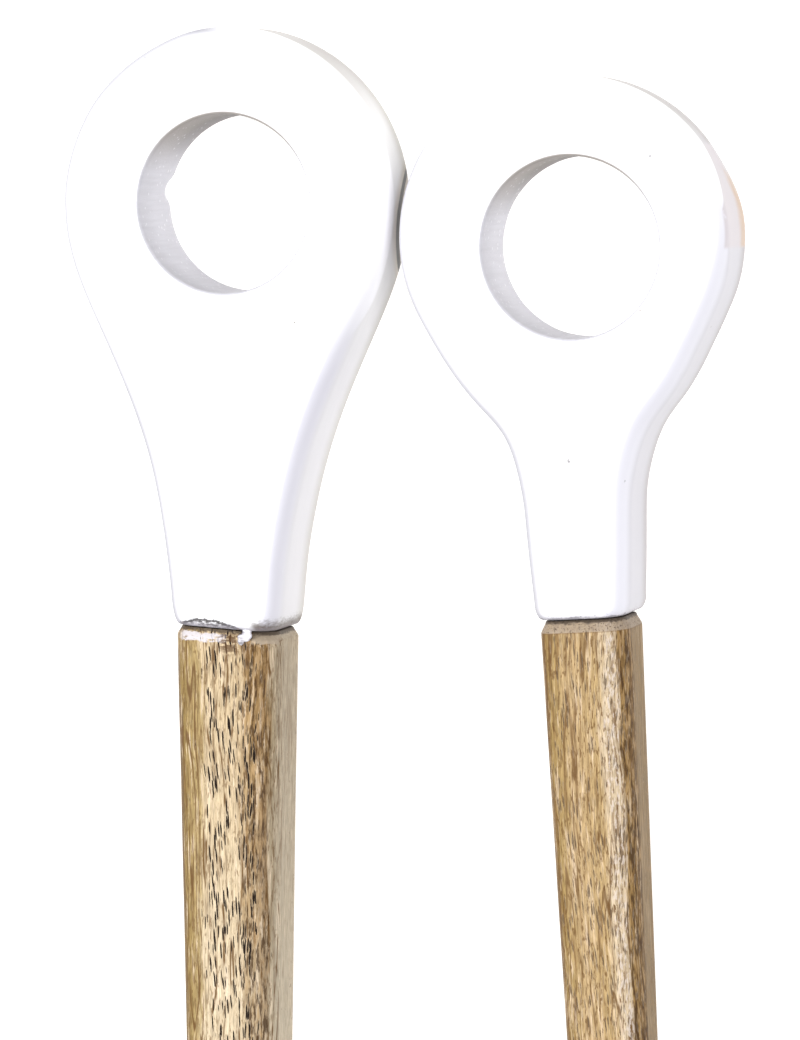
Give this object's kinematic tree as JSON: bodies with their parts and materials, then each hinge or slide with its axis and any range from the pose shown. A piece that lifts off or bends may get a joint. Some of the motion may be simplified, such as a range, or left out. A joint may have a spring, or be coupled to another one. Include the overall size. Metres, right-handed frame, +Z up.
{
  "type": "spring loaded kitchen tongs",
  "caption": "Scissor-action kitchen tongs with white finger rings, rounded wooden handles, crossed steel arms, a closing torsion spring at the pivot and scalloped dished jaws.",
  "frame": {"origin": "centre of the footprint of the tongs lying flat, on the table", "axes": "+Z up out of the table through the thickness, +Y towards the finger rings, -Y towards the jaws, +X towards the arm whose ring is the round one"},
  "size_m": [0.1098, 0.3352, 0.0197],
  "materials": {
    "white_lacquer": "white lacquer over wood, satin",
    "mango_wood": "oiled, brown pores and streaks",
    "dowel_wood": "plain, unfinished",
    "brushed_steel": "brushed stainless",
    "spring_wire": "drawn spring wire, bright"
  },
  "bodies": {
    "left_arm": {"ring_grip_a": "white_lacquer", "dowel_a": "dowel_wood", "handle_a": "mango_wood", "tang_pin_a": "brushed_steel", "collar_a": "brushed_steel", "arm_a": "brushed_steel", "spring_peg_a": "brushed_steel", "jaw_a": "brushed_steel", "jaw_rivet_a1": "brushed_steel", "jaw_rivet_a2": "brushed_steel", "pivot_bolt": "brushed_steel", "pivot_nut": "brushed_steel", "washer_top": "brushed_steel", "washer_middle": "brushed_steel", "washer_bottom": "brushed_steel", "torsion_spring": "spring_wire"},
    "right_arm": {"ring_grip_b": "white_lacquer", "dowel_b": "dowel_wood", "handle_b": "mango_wood", "tang_pin_b": "brushed_steel", "collar_b": "brushed_steel", "arm_b": "brushed_steel", "spring_peg_b": "brushed_steel", "jaw_b": "brushed_steel", "jaw_rivet_b1": "brushed_steel", "jaw_rivet_b2": "brushed_steel"}
  },
  "joints": [
    {"name": "pivot_hinge", "type": "hinge", "parent": "left_arm", "child": "right_arm", "pos_m": [0, -0.06263, 0.0085], "axis": [0, 0, -1], "range_deg": [0, 28], "stiffness_Nm_per_rad": 0.1, "springref_deg": -57.3, "deforming": ["torsion_spring"]}
  ]
}
